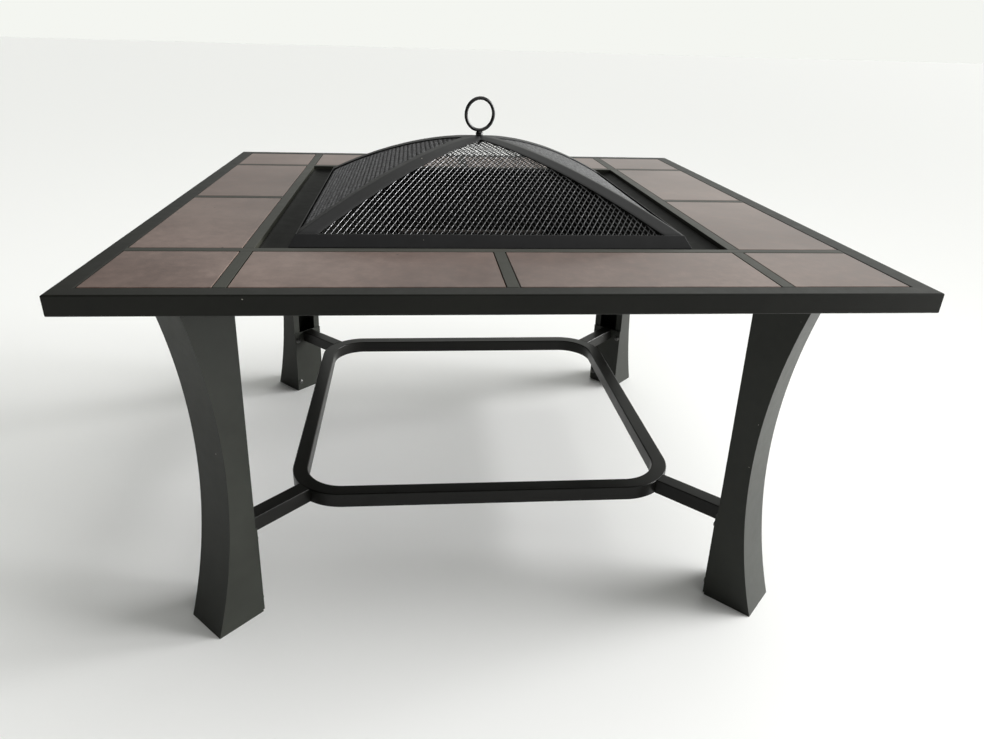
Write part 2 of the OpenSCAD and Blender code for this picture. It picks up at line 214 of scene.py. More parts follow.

# %% [markdown]
# ## The other finishes
# The wire mesh is slit sheet under a thin metallic paint, and light runs along
# its twisted strands. The fixings are blackened steel, rubbed to bare steel in small patches.
# The grate is rolled bar that has been in a fire: dull, pitted and ashy.


# %% Mesh, fixings and grate
def strand_paint():
    """Thin metallic paint on slit mesh, bright where light runs along a strand."""
    material, tree, skin, where = new_finish("black_mesh_paint")
    wear = cloud(tree, where, 260, detail=3)
    tree.links.new(colours(tree, wear, [(0.3, 0.070, 0.070, 0.072), (0.75, 0.240, 0.240, 0.245)]),
                   skin.inputs["Base Color"])
    tree.links.new(between(tree, wear, 0.26, 0.44), skin.inputs["Roughness"])
    skin.inputs["Metallic"].default_value = 0.8
    return material


def blackened_steel():
    """Oxide black on the fixings, rubbed to bare steel in small patches."""
    material, tree, skin, where = new_finish("blackened_fixing_steel")
    rub = cloud(tree, where, 420, detail=5, roughness=0.65)
    tree.links.new(colours(tree, rub, [(0.35, 0.05, 0.05, 0.05), (0.75, 0.24, 0.24, 0.23)]),
                   skin.inputs["Base Color"])
    tree.links.new(between(tree, rub, 0.45, 0.25), skin.inputs["Roughness"])
    skin.inputs["Metallic"].default_value = 0.85
    return material


def burnt_bar():
    """Bar steel out of a fire, with scale, rust and pale ash."""
    material, tree, skin, where = new_finish("burnt_grate_bar")
    scale_coat = cloud(tree, where, 120, detail=8, roughness=0.7)
    ash = cloud(tree, where, 35, detail=6)
    iron = colours(tree, scale_coat, [(0.3, 0.012, 0.011, 0.010), (0.62, 0.045, 0.030, 0.022),
                                      (0.8, 0.110, 0.052, 0.028)])
    dusted = between(tree, ash, -0.35, 0.75)
    tree.links.new(mixed(tree, dusted, iron, (0.12, 0.115, 0.108, 1)), skin.inputs["Base Color"])
    tree.links.new(between(tree, scale_coat, 0.65, 0.9), skin.inputs["Roughness"])
    bump = add(tree, "ShaderNodeBump", {"Strength": 0.6, "Distance": 0.0005, "Height": scale_coat})
    tree.links.new(bump.outputs[0], skin.inputs["Normal"])
    return material


mesh_paint = strand_paint()
fixing_steel = blackened_steel()
grate_iron = burnt_bar()
print("finishes so far:", len(bpy.data.materials))

# %% [markdown]
# ## Glazed tile
# The tiles are pressed clay under a brown, slate-like glaze. Its colour drifts in
# slow clouds and in a finer mottle, with a few dark pits and rust red spots. The
# surface is glossy and nearly flat, so that a low view over the far tiles shows
# mostly the sky. A clear coat over a rougher body gives both at once.


# %% Tile glaze
def tile_glaze():
    """Brown mottled glaze under a clear gloss."""
    material, tree, skin, where = new_finish("brown_tile_glaze")
    drift = cloud(tree, where, 5.5, detail=4)
    mottle = cloud(tree, where, 85, detail=7, roughness=0.68)
    grit = cloud(tree, where, 600, detail=3)
    stirred = maths(tree, "ADD", maths(tree, "MULTIPLY", drift, 0.55), maths(tree, "MULTIPLY", mottle, 0.45))
    body = colours(tree, stirred, [(0.36, 0.078, 0.043, 0.033), (0.5, 0.130, 0.082, 0.067),
                                   (0.64, 0.195, 0.135, 0.114)])
    pitted = mixed(tree, specks(tree, where, 55, 0.07, 0.10), body, (0.030, 0.018, 0.014, 1))
    rusted = mixed(tree, specks(tree, where, 22, 0.05, 0.12), pitted, (0.300, 0.110, 0.045, 1))
    tree.links.new(rusted, skin.inputs["Base Color"])
    tree.links.new(between(tree, mottle, 0.26, 0.46), skin.inputs["Roughness"])
    height = maths(tree, "ADD", mottle, maths(tree, "MULTIPLY", grit, 0.3))
    bump = add(tree, "ShaderNodeBump", {"Strength": 0.10, "Distance": 0.0004, "Height": height})
    tree.links.new(bump.outputs[0], skin.inputs["Normal"])
    skin.inputs["Specular IOR Level"].default_value = 0.35
    skin.inputs["Coat Weight"].default_value = 0.25
    skin.inputs["Coat Roughness"].default_value = 0.15
    return material


glaze = tile_glaze()
print("tile glaze ready:", glaze.name)

# %% [markdown]
# ## From measured solids to finished pieces
# The measured solids are right in size but have razor edges, which real sheet,
# tube and tile never have. Each is copied, its loose triangles are joined into
# whole faces, and its sharp edges are rounded by the few tenths of a millimetre
# that a cut or a fold leaves. A rounded edge catches light, and that thin bright
# line is most of what makes steel look like steel.


# %% Helpers that finish a piece
def whole_faces(node):
    """A copy of a measured node's mesh with its triangles joined into whole faces."""
    shape = bmesh.new()
    shape.from_mesh(nodes[node].data)
    bmesh.ops.remove_doubles(shape, verts=shape.verts, dist=0.001 * MM)
    bmesh.ops.dissolve_limit(shape, angle_limit=math.radians(0.5), verts=shape.verts, edges=shape.edges)
    return shape


def round_edges(shape, width, steps=2, sharper_than=35, where=None):
    """Rounds the edges that turn by more than an angle, or only those where() picks."""
    limit = math.radians(sharper_than)
    sharp = [e for e in shape.edges if len(e.link_faces) == 2 and e.calc_face_angle(0) > limit
             and (where is None or where(e))]
    bmesh.ops.bevel(shape, geom=sharp, offset=width, segments=steps, profile=0.5, affect="EDGES",
                    clamp_overlap=True)
    return shape


def piece(name, mesh, body, finish, replaced=()):
    """Puts a finished mesh in the scene, on its body and in place of its nodes."""
    mesh.name = name
    mesh.materials.clear()
    mesh.materials.append(finish)
    mesh.shade_smooth()
    mesh.set_sharp_from_angle(angle=math.radians(38))
    made = bpy.data.objects.new(name, mesh)
    bpy.context.scene.collection.objects.link(made)
    even = made.modifiers.new("even_shading", "WEIGHTED_NORMAL")
    even.keep_sharp = True
    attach(made, body)
    if replaced:
        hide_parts(*replaced)
    return made


def thicken(made, thickness):
    """Gives a skin its sheet's thickness, inwards, before its shading is worked out."""
    sheet = made.modifiers.new("sheet", "SOLIDIFY")
    sheet.thickness = thickness
    sheet.offset = -1
    made.modifiers.move(1, 0)


def as_mesh(shape):
    """Turns an edited shape into a mesh and lets the shape go."""
    mesh = bpy.data.meshes.new("shape")
    bmesh.ops.recalc_face_normals(shape, faces=shape.faces)
    shape.to_mesh(mesh)
    shape.free()
    return mesh


def worked(node, finish, width, steps=2, where=None):
    """The finished piece for one measured node."""
    mesh = as_mesh(round_edges(whole_faces(node), width, steps, where=where))
    return piece("finished_" + node, mesh, nodes[node]["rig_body"], finish, [node])


# %% [markdown]
# ## Table top
# Four square tubes, mitred and welded, make the frame. Two long folded bars and
# two short ones border the opening, and eight more part the tiles. Mitred ends get
# a fine chamfer, which leaves the thin line that shows where two tubes meet.

# %% Frame, bars and trays
SIDES = ("front", "right", "back", "left")
CORNERS = ("front_left", "front_right", "back_right", "back_left")
for side in SIDES:
    worked("frame_rail_" + side, frame_coat, 0.25 * MM)
    worked("tile_tray_" + side, frame_coat, 0.25 * MM)
for bar in ("cross_bar_front", "cross_bar_back", "side_bar_left", "side_bar_right", "tile_dividers"):
    worked(bar, bar_coat, 0.45 * MM)
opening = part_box("side_bar_right")[0].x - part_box("side_bar_left")[1].x
print("opening between the bars in mm:", round(opening / MM))

# %% [markdown]
# ## Tiles
# A pressed tile has a soft, rounded rim where the glaze has drawn back from the
# edge, and its face is a touch crowned. Rounding in three steps gives the rim. Each
# tile lies in its own place in the glaze's noise, so no two look alike.

# %% Tiles
TILES = [name for name in nodes if name.startswith("tile_")
         and not name.startswith(("tile_tray", "tile_dividers"))]
for tile in sorted(TILES):
    worked(tile, glaze, 0.9 * MM, steps=3)
print("tiles:", len(TILES))

# %% [markdown]
# ## Legs, feet and stretcher
# Each leg is one folded sheet, open on its inner side, with a bow cut into its
# outer face. The stretcher ring and its spokes are square tube with rounded long
# edges. Only edges that run along the tube are rounded that much: the open ends
# are thin walls, and a wide round there would eat them.

# %% Legs and plates
for corner in CORNERS:
    worked("leg_" + corner, leg_coat, 0.6 * MM)
    worked("foot_plate_" + corner, leg_coat, 0.3 * MM)
    worked("corner_plate_" + corner, frame_coat, 0.3 * MM)

# %% Stretcher
ring_low, ring_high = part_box("ring_half_front")
TUBE_ROUND = 1.6 * MM


def outer_run(edge):
    """True for a long outer edge of the stretcher's tube, above or below."""
    heights = [v.co.z for v in edge.verts]
    level = min(abs(heights[0] - ring_low.z), abs(heights[0] - ring_high.z))
    flat = abs(heights[0] - heights[1]) < 0.01 * MM
    at_seam = all(abs(v.co.y) < 0.01 * MM for v in edge.verts)
    return level < 0.01 * MM and flat and not at_seam


def spoke_run(edge):
    """True for an edge that runs along a spoke, which lies on a diagonal."""
    along = edge.verts[1].co - edge.verts[0].co
    return along.length > 8 * MM and abs(abs(along.x) - abs(along.y)) < 0.1 * along.length \
        and outer_run(edge)


for half in ("ring_half_front", "ring_half_back"):
    worked(half, ring_coat, TUBE_ROUND, steps=3, where=outer_run)
for corner in CORNERS:
    worked("spoke_" + corner, ring_coat, TUBE_ROUND, steps=3, where=spoke_run)
worked("ring_joiners", fixing_steel, 0.2 * MM)
print("ring's outer side in mm:", round((ring_high.x - ring_low.x) / MM))

# %% [markdown]
# ## Fire bowl
# The bowl is pressed from one sheet: a turned-up rim, a hollow cove, a flat seat
# for the screen, then a rounded mouth that rolls into the basin. Its rings are
# rounded squares that grow and sink together, so it is lofted from a short list of
# rings. The list is worked out from the bowl's box, with arcs for the round parts.

# %% Rounded square rings
CORNER_STEPS = 12
SIDE_STEPS = 10


def square_ring(half, height, radius):
    """Points of a level rounded square, counterclockwise from its right side."""
    centre = half - radius
    points = []
    for quarter in range(4):
        turn = math.pi / 2 * quarter
        for step in range(CORNER_STEPS + 1):
            angle = turn + math.pi / 2 * step / CORNER_STEPS
            centre_x = centre * (1 if quarter in (0, 3) else -1)
            centre_y = centre * (1 if quarter in (0, 1) else -1)
            points.append(Vector((centre_x + radius * math.cos(angle),
                                  centre_y + radius * math.sin(angle), height)))
        nxt = turn + math.pi / 2
        start = points[-1]
        sign_x = 1 if quarter in (2, 3) else -1
        sign_y = 1 if quarter in (0, 3) else -1
        end = Vector((centre * sign_x + radius * math.cos(nxt),
                      centre * sign_y + radius * math.sin(nxt), height))
        points += [start.lerp(end, step / SIDE_STEPS) for step in range(1, SIDE_STEPS)]
    return points


def loft(rings, closed=True):
    """A skin through rings of equally many points."""
    shape = bmesh.new()
    rows = [[shape.verts.new(p) for p in ring] for ring in rings]
    count = len(rows[0])
    for upper, lower in zip(rows, rows[1:]):
        for i in range(count if closed else count - 1):
            j = (i + 1) % count
            shape.faces.new((upper[i], upper[j], lower[j], lower[i]))
    return shape, rows


# %% Fire bowl
bowl_low, bowl_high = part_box("fire_bowl")
SHEET = 1.0 * MM
COVE = 13 * MM
MOUTH_ROUND = 4 * MM
FLANGE = 34 * MM
HEEL_OUT, HEEL_IN, HEEL_UP = 166 * MM, 16 * MM, 14 * MM
rim = bowl_high.x
seat = bowl_high.z - 3 * MM
mouth = rim - FLANGE
floor = bowl_low.z + SHEET
bowl_rings = [(rim, seat - 0.5 * SHEET, 4 * MM), (rim, bowl_high.z - 0.3 * MM, 4 * MM),
              (rim - 0.3 * MM, bowl_high.z, 4 * MM), (rim - SHEET, bowl_high.z - 0.2 * MM, 4 * MM)]
for step in range(1, 9):
    turn = math.pi / 2 * step / 8
    bowl_rings.append((rim - SHEET - COVE * (1 - math.cos(turn)), bowl_high.z - (bowl_high.z - seat)
                       * math.sin(turn), (4 + 10 * step / 8) * MM))
for step in range(7):
    turn = math.pi / 2 * step / 6
    bowl_rings.append((mouth + MOUTH_ROUND * (1 - math.sin(turn)), seat - MOUTH_ROUND * (1 - math.cos(turn)),
                       (52 + 3 * step / 6) * MM))
for step in range(1, 7):
    drop = step / 6
    bowl_rings.append((mouth + (HEEL_OUT - mouth) * drop ** 1.15, seat - MOUTH_ROUND
                       - (seat - MOUTH_ROUND - floor - HEEL_UP) * drop, 55 * MM))
for step in range(1, 7):
    turn = math.pi / 2 * step / 6
    bowl_rings.append((HEEL_OUT - HEEL_IN * (1 - math.cos(turn)),
                       floor + HEEL_UP * (1 - math.sin(turn)), 55 * MM))
bowl_rings += [(110 * MM, floor, 50 * MM), (55 * MM, floor, 30 * MM)]
shape, rows = loft([square_ring(*ring) for ring in bowl_rings])
hub = shape.verts.new((0, 0, floor))
for i, corner in enumerate(rows[-1]):
    shape.faces.new((corner, rows[-1][(i + 1) % len(rows[-1])], hub))
shape.normal_update()
bowl = piece("pressed_bowl", as_mesh(shape), "bowl", bowl_coat, ["fire_bowl"])
thicken(bowl, SHEET)
print("bowl rings:", len(bowl_rings), "depth in mm:", round((seat - floor) / MM))

# %% [markdown]
# ## The dome's shape
# The screen's four faces are all the same: a level front edge, and a slope that
# gets steeper as it comes down. At a distance m from the middle the skin has
# fallen by rise * (m / half) ^ fullness. Ribs and mesh both follow this one rule,
# so they stay in touch however the dome's sizes change.

# %% Sizes of the dome
base_low, base_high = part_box("screen_base")
rib_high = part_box("rib_front_left")[1].z
BAND_LEAN, BAND_SHEET = 8 * MM, 1.2 * MM
TUCK = 0.6
FULLNESS = 1.58
dome_half = base_high.x - BAND_LEAN - BAND_SHEET
dome_rise = rib_high - base_high.z
band_tall = base_high.z - base_low.z


def dome_height(m):
    """Height of the dome's outer skin at a distance m from its middle."""
    return rib_high - dome_rise * (m / dome_half) ** FULLNESS


worked("screen_base", screen_coat, 0.35 * MM)
print("dome half side and rise in mm:", round(dome_half / MM, 1), round(dome_rise / MM, 1))

# %% [markdown]
# ## Ribs
# A rib is a strip folded over a corner of the dome. Cut level, it is an L with a
# small round at the fold, so it is lofted from level cuts. Its lower end tucks
# behind the band, and near the top the four ribs run together into one cap.

# %% Ribs
RIB_WIDE = 16 * MM * math.sqrt(2)
FOLD_ROUND = 2.2 * MM
TOP_HOLE = 3.3 * MM
LEVELS = 44


def rib_cut(m, height, reach_m=None):
    """One level cut of the front left rib, from its front edge round the fold."""
    span = min(RIB_WIDE, reach_m or m)
    small = min(FOLD_ROUND, m / 3)
    front = [Vector((-m + span + (small - span) * t / 4, -m, height)) for t in range(4)]
    bend = [Vector((-m + small - small * math.sin(a), -m + small - small * math.cos(a), height))
            for a in (math.pi / 2 * k / 6 for k in range(7))]
    left = [Vector((p.y, p.x, p.z)) for p in reversed(front)]
    return front + bend + left


rib_cuts = []
for level in range(LEVELS + 1):
    m = TOP_HOLE + (dome_half - TOP_HOLE) * (level / LEVELS)
    rib_cuts.append(rib_cut(m, dome_height(m)))
tail = dome_half + BAND_LEAN * TUCK
rib_cuts.append(rib_cut(tail, base_high.z - band_tall * TUCK, dome_half))
for quarter, corner in enumerate(CORNERS):
    shape, _ = loft(rib_cuts, closed=False)
    bmesh.ops.rotate(shape, verts=shape.verts, matrix=Matrix.Rotation(math.pi / 2 * quarter, 3, "Z"))
    shape.normal_update()
    flip = [f for f in shape.faces if f.normal.z < 0]
    bmesh.ops.reverse_faces(shape, faces=flip)
    mesh = bpy.data.meshes.new("rib")
    shape.to_mesh(mesh)
    shape.free()
    rib = piece("folded_rib_" + corner, mesh, "screen", screen_coat, ["rib_" + corner])
    thicken(rib, BAND_SHEET)
print("level cuts in a rib:", len(rib_cuts))

# %% [markdown]
# ## Slit mesh by Geometry Nodes
# The screen is expanded mesh: sheet that is slit in rows and pulled open, so each
# opening is a diamond and each strand stands twisted out of the sheet's plane. One
# knot of two strands is repeated over a flat grid, rows set over by half a
# diamond, trimmed to a triangle, and then laid on the dome's curve. The curve is
# sampled by length, so the diamonds keep their size as the slope gets steeper.


# %% The mesh panel's tree
def new_tree(name, sockets):
    """An empty Geometry Nodes tree with named inputs, and its two end nodes."""
    tree = bpy.data.node_groups.new(name, "GeometryNodeTree")
    tree.interface.new_socket("Geometry", in_out="INPUT", socket_type="NodeSocketGeometry")
    tree.interface.new_socket("Geometry", in_out="OUTPUT", socket_type="NodeSocketGeometry")
    for label, kind in sockets:
        tree.interface.new_socket(label, in_out="INPUT", socket_type="NodeSocket" + kind)
    return tree, add(tree, "NodeGroupInput").outputs, add(tree, "NodeGroupOutput").inputs


def vector(tree, x=0.0, y=0.0, z=0.0):
    """A vector from three numbers or sockets."""
    return add(tree, "ShaderNodeCombineXYZ", {0: x, 1: y, 2: z}).outputs[0]


def parts(tree, value):
    """The three parts of a vector."""
    return add(tree, "ShaderNodeSeparateXYZ", {0: value}).outputs


def slit_mesh_tree():
    """A tree that lays a sheet of slit mesh on one face of the dome."""
    tree, given, result = new_tree("slit_mesh", [
        ("Half Side", "Float"), ("Rise", "Float"), ("Fullness", "Float"), ("Top", "Float"),
        ("Tail Out", "Float"), ("Tail Down", "Float"),
        ("Diamond Width", "Float"), ("Diamond Length", "Float"),
        ("Strand Width", "Float"), ("Strand Thickness", "Float"), ("Twist", "Float"), ("Columns", "Int"),
        ("Rows", "Int"), ("Hole", "Float"), ("Turn", "Float"), ("Paint", "Material")])
    steps = 48
    index = add(tree, "GeometryNodeInputIndex").outputs[0]
    share = maths(tree, "MINIMUM", maths(tree, "DIVIDE", index, steps), 1.0)
    at_tail = maths(tree, "GREATER_THAN", index, steps + 0.5)
    out = maths(tree, "ADD", maths(tree, "MULTIPLY", given["Half Side"], share),
                maths(tree, "MULTIPLY", given["Tail Out"], at_tail))
    fallen = maths(tree, "MULTIPLY", given["Rise"], maths(tree, "POWER", share, given["Fullness"]))
    height = maths(tree, "SUBTRACT", maths(tree, "SUBTRACT", given["Top"], fallen),
                   maths(tree, "MULTIPLY", given["Tail Down"], at_tail))
    line = add(tree, "GeometryNodeMeshLine", {"Count": steps + 2}).outputs[0]
    bent = add(tree, "GeometryNodeSetPosition", {"Geometry": line, "Position": vector(
        tree, 0.0, maths(tree, "MULTIPLY", out, -1.0), height)}).outputs[0]
    slope = add(tree, "GeometryNodeMeshToCurve", {"Mesh": bent}).outputs[0]
    length = add(tree, "GeometryNodeCurveLength", {"Curve": slope}).outputs[0]

    def on_slope(distance):
        found = add(tree, "GeometryNodeSampleCurve", {"Curves": slope, "Length": distance}, mode="LENGTH")
        return parts(tree, found.outputs["Position"]), parts(tree, found.outputs["Tangent"])

    # A flat grid of knots, one unit apart, then stretched and set over row by row.
    grid = add(tree, "GeometryNodeMeshGrid", {
        "Size X": maths(tree, "SUBTRACT", given["Columns"], 1.0),
        "Size Y": maths(tree, "SUBTRACT", given["Rows"], 1.0),
        "Vertices X": given["Columns"], "Vertices Y": given["Rows"]}).outputs[0]
    spot = parts(tree, add(tree, "GeometryNodeInputPosition").outputs[0])
    row = maths(tree, "ROUND", maths(tree, "ADD", spot[1], maths(tree, "MULTIPLY", maths(
        tree, "SUBTRACT", given["Rows"], 1.0), 0.5)))
    odd = maths(tree, "MULTIPLY", maths(tree, "MODULO", row, 2.0), 0.5)
    across = maths(tree, "MULTIPLY", maths(tree, "ADD", spot[0], odd), given["Diamond Width"])
    half_length = maths(tree, "MULTIPLY", given["Diamond Length"], 0.5)
    down = maths(tree, "MULTIPLY", row, half_length)
    knots = add(tree, "GeometryNodeSetPosition", {"Geometry": grid, "Position": vector(
        tree, across, down, 0.0)}).outputs[0]

    # Knots outside the triangle, in the hole for the stud, or past the edge go.
    now = parts(tree, add(tree, "GeometryNodeInputPosition").outputs[0])
    place, _ = on_slope(now[1])
    reach = maths(tree, "MULTIPLY", place[1], -1.0)
    wide = maths(tree, "ADD", maths(tree, "ABSOLUTE", now[0]), maths(
        tree, "MULTIPLY", given["Diamond Width"], 0.5))
    outside = maths(tree, "GREATER_THAN", wide, reach)
    past = maths(tree, "GREATER_THAN", maths(tree, "ADD", now[1], half_length), length)
    in_hole = maths(tree, "LESS_THAN", reach, given["Hole"])
    gone = maths(tree, "GREATER_THAN", maths(tree, "ADD", maths(tree, "ADD", outside, past), in_hole), 0.5)
    kept = add(tree, "GeometryNodeDeleteGeometry", {"Geometry": knots, "Selection": gone},
               domain="POINT").outputs[0]

    # One knot: two strands that lean apart, each a flat ribbon twisted out of plane.
    ribbon = add(tree, "GeometryNodeCurvePrimitiveQuadrilateral", {
        "Width": given["Strand Width"], "Height": given["Strand Thickness"]}).outputs[0]
    both = add(tree, "GeometryNodeJoinGeometry")
    for way in (1.0, -1.0):
        half_width = maths(tree, "MULTIPLY", given["Diamond Width"], 0.5 * way)
        strand = add(tree, "GeometryNodeCurvePrimitiveBezierSegment", {
            "Resolution": 2, "Start": vector(tree), "End": vector(tree, half_width, half_length),
            "Start Handle": vector(tree, 0.0, maths(tree, "MULTIPLY", half_length, 0.42)),
            "End Handle": vector(tree, half_width, maths(tree, "MULTIPLY", half_length, 0.58))}).outputs[0]
        twisted = add(tree, "GeometryNodeSetCurveTilt", {"Curve": strand, "Tilt": given["Twist"]}).outputs[0]
        solid = add(tree, "GeometryNodeCurveToMesh", {
            "Curve": twisted, "Profile Curve": ribbon, "Fill Caps": True}).outputs[0]
        tree.links.new(solid, both.inputs[0])
    spread = add(tree, "GeometryNodeInstanceOnPoints", {
        "Points": kept, "Instance": both.outputs[0]}).outputs[0]
    flat = add(tree, "GeometryNodeRealizeInstances", {"Geometry": spread}).outputs[0]

    # Lay the flat sheet on the slope: along it by length, and off it square to it.
    here = parts(tree, add(tree, "GeometryNodeInputPosition").outputs[0])
    base, run = on_slope(here[1])
    off_y = maths(tree, "ADD", base[1], maths(tree, "MULTIPLY", here[2], run[2]))
    off_z = maths(tree, "SUBTRACT", base[2], maths(tree, "MULTIPLY", here[2], run[1]))
    laid = add(tree, "GeometryNodeSetPosition", {"Geometry": flat, "Position": vector(
        tree, here[0], off_y, off_z)}).outputs[0]
    turned = add(tree, "GeometryNodeTransform", {"Geometry": laid, "Rotation": vector(
        tree, 0.0, 0.0, given["Turn"])}).outputs[0]
    whole = add(tree, "GeometryNodeRealizeInstances", {"Geometry": turned}).outputs[0]
    painted = add(tree, "GeometryNodeSetMaterial", {"Geometry": whole, "Material": given["Paint"]}).outputs[0]
    tree.links.new(painted, result[0])
    return tree


def grown(tree, settings, start=None):
    """The plain mesh that a tree makes with these settings, its modifier gone."""
    holder = bpy.data.objects.new("holder", start or bpy.data.meshes.new("holder"))
    bpy.context.scene.collection.objects.link(holder)
    modifier = holder.modifiers.new("nodes", "NODES")
    modifier.node_group = tree
    for item in tree.interface.items_tree:
        if item.in_out == "INPUT" and item.name in settings:
            modifier[item.identifier] = settings[item.name]
    bpy.context.view_layer.update()
    evaluated = holder.evaluated_get(bpy.context.evaluated_depsgraph_get())
    mesh = bpy.data.meshes.new_from_object(evaluated)
    holder.modifiers.clear()
    bpy.data.objects.remove(holder)
    return mesh


# %% Four mesh panels
MESH_SHEET = 1.4 * MM
DIAMOND_WIDE, DIAMOND_LONG = 6.8 * MM, 12.6 * MM
depth = BAND_SHEET + MESH_SHEET / 2
slit_mesh = slit_mesh_tree()
mesh_sizes = {
    "Half Side": dome_half - depth, "Rise": dome_rise, "Fullness": FULLNESS, "Top": rib_high - depth,
    "Tail Out": BAND_LEAN * TUCK, "Tail Down": band_tall * TUCK, "Diamond Width": DIAMOND_WIDE,
    "Diamond Length": DIAMOND_LONG, "Strand Width": 1.1 * MM, "Strand Thickness": 0.5 * MM, "Twist": -0.55,
    "Columns": int(2 * dome_half / DIAMOND_WIDE) + 2, "Rows": int(2.5 * dome_half / DIAMOND_LONG) + 2,
    "Hole": 6 * MM, "Paint": mesh_paint}
for quarter, side in enumerate(SIDES):
    panel = grown(slit_mesh, {**mesh_sizes, "Turn": math.pi / 2 * quarter})
    piece("slit_mesh_" + side, panel, "screen", mesh_paint, ["mesh_panel_" + side])
    print("slit mesh", side, "faces:", len(panel.polygons))

# %% [markdown]
# ## Fixings by Geometry Nodes
# The same screw is used sixteen times and the same bolt eight times. Each is
# modelled once, standing on its head's outer end, and a tree puts a copy on every
# point with its axis along the way it is driven. Screws are never driven to the
# same turn, so each one gets its own turn from a random value with a fixed seed.


# %% One screw and one bolt
def turned(profile, steps=24):
    """A closed turned part round the Z axis, from (radius, height) points."""
    shape = bmesh.new()
    rows = []
    for radius, height in profile:
        if radius == 0:
            rows.append([shape.verts.new((0, 0, height))])
        else:
            rows.append([shape.verts.new((radius * math.cos(2 * math.pi * i / steps),
                                          radius * math.sin(2 * math.pi * i / steps), height))
                         for i in range(steps)])
    for upper, lower in zip(rows, rows[1:]):
        for i in range(steps):
            j = (i + 1) % steps
            ring = [upper[i % len(upper)], upper[j % len(upper)],
                    lower[j % len(lower)], lower[i % len(lower)]]
            shape.faces.new(list(dict.fromkeys(ring)))
    bmesh.ops.recalc_face_normals(shape, faces=shape.faces)
    return shape


def hexagon(across_flats, low, high):
    """A hexagonal head or nut with its ends chamfered."""
    shape = bmesh.new()
    radius = across_flats / 2 / math.cos(math.pi / 6)
    bmesh.ops.create_cone(shape, cap_ends=True, segments=6, radius1=radius, radius2=radius, depth=high - low,
                          matrix=Matrix.Translation((0, 0, (low + high) / 2)))
    flats = [e for e in shape.edges if abs(e.verts[0].co.z - e.verts[1].co.z) < 0.01 * MM]
    bmesh.ops.bevel(shape, geom=flats, offset=0.4 * MM, segments=2, profile=0.5, affect="EDGES")
    return shape


def joined(*shapes):
    """One mesh that holds several closed shapes."""
    together = bmesh.new()
    for shape in shapes:
        part = as_mesh(shape)
        together.from_mesh(part)
        bpy.data.meshes.remove(part)
    return as_mesh(together)


def screw_mesh(head, height, shank, length):
    """A pan head screw whose head ends at z = 0, with a cross cut into it."""
    dome = [(0, 0), (head * 0.22, -0.03 * height), (head * 0.38, -0.22 * height),
            (head * 0.47, -0.55 * height), (head * 0.5, -height), (shank / 2, -height),
            (shank / 2, -length + 1 * MM), (0, -length)]
    screw = bpy.data.objects.new("screw", as_mesh(turned(dome)))
    bpy.context.scene.collection.objects.link(screw)
    cutter = bmesh.new()
    for turn in (0, math.pi / 2):
        bmesh.ops.create_cube(cutter, size=1, matrix=Matrix.Rotation(turn, 4, "Z") @ Matrix.Diagonal(
            (head * 0.52, head * 0.11, height * 1.1, 1)))
    blades = bpy.data.objects.new("blades", as_mesh(cutter))
    bpy.context.scene.collection.objects.link(blades)
    cut = screw.modifiers.new("cross", "BOOLEAN")
    cut.operation, cut.solver, cut.use_self, cut.object = "DIFFERENCE", "EXACT", True, blades
    bpy.context.view_layer.update()
    mesh = bpy.data.meshes.new_from_object(screw.evaluated_get(bpy.context.evaluated_depsgraph_get()))
    bpy.data.objects.remove(screw)
    bpy.data.objects.remove(blades)
    return mesh


def bolt_mesh(flats, nut, shank, length):
    """A hexagon bolt with its nut, from z = 0 at its head's top downwards."""
    return joined(hexagon(flats, -nut, 0), hexagon(flats, -length, -length + nut),
                  turned([(0, -nut / 2), (shank / 2, -nut / 2), (shank / 2, -length + nut / 2),
                          (0, -length + nut / 2)]))


# %% The fixings' tree
def fixings_tree():
    """A tree that stands one fixing on every point, along the point's axis."""
    tree, given, result = new_tree("fixings", [("Fixing", "Object"), ("Seed", "Int"), ("Steel", "Material")])
    shape = add(tree, "GeometryNodeObjectInfo", {"Object": given["Fixing"]}).outputs["Geometry"]
    axis = add(tree, "GeometryNodeInputNamedAttribute", {"Name": "axis"}, data_type="FLOAT_VECTOR").outputs[0]
    along = add(tree, "FunctionNodeAlignRotationToVector", {"Vector": axis}, axis="Z").outputs[0]
    turn = add(tree, "FunctionNodeRandomValue", {2: 0.0, 3: 6.28, "Seed": given["Seed"]}, data_type="FLOAT")
    spin = add(tree, "FunctionNodeAxisAngleToRotation", {
        "Axis": (0, 0, 1), "Angle": turn.outputs[1]}).outputs[0]
    both = add(tree, "FunctionNodeRotateRotation", {0: along, 1: spin}, rotation_space="LOCAL").outputs[0]
    copies = add(tree, "GeometryNodeInstanceOnPoints", {
        "Points": given["Geometry"], "Instance": shape, "Rotation": both}).outputs[0]
    whole = add(tree, "GeometryNodeRealizeInstances", {"Geometry": copies}).outputs[0]
    tree.links.new(add(tree, "GeometryNodeSetMaterial", {
        "Geometry": whole, "Material": given["Steel"]}).outputs[0], result[0])
    return tree


def islands(node):
    """The corner points of each separate solid in a measured node, in a fixed order."""
    shape = whole_faces(node)
    seen, found = set(), []
    for start in shape.verts:
        if start in seen:
            continue
        seen.add(start)
        group, edge = [], [start]
        while edge:
            vert = edge.pop()
            group.append(vert.co.copy())
            for link in vert.link_edges:
                other = link.other_vert(vert)
                if other not in seen:
                    seen.add(other)
                    edge.append(other)
        found.append(group)
    shape.free()
    return found


def head_ends(node, axis_at):
    """Where each fixing's head ends, the way it faces, and the fixings' length."""
    places = []
    for points in islands(node):
        middle = sum(points, Vector()) / len(points)
        axis = axis_at(middle)
        reach = [p.dot(axis) for p in points]
        low, high = min(reach), max(reach)
        ring = [p for p in points if p.dot(axis) > high - 0.3 * MM]
        top = sum(ring, Vector()) / len(ring)
        places.append((top, axis, high - low))
    return places


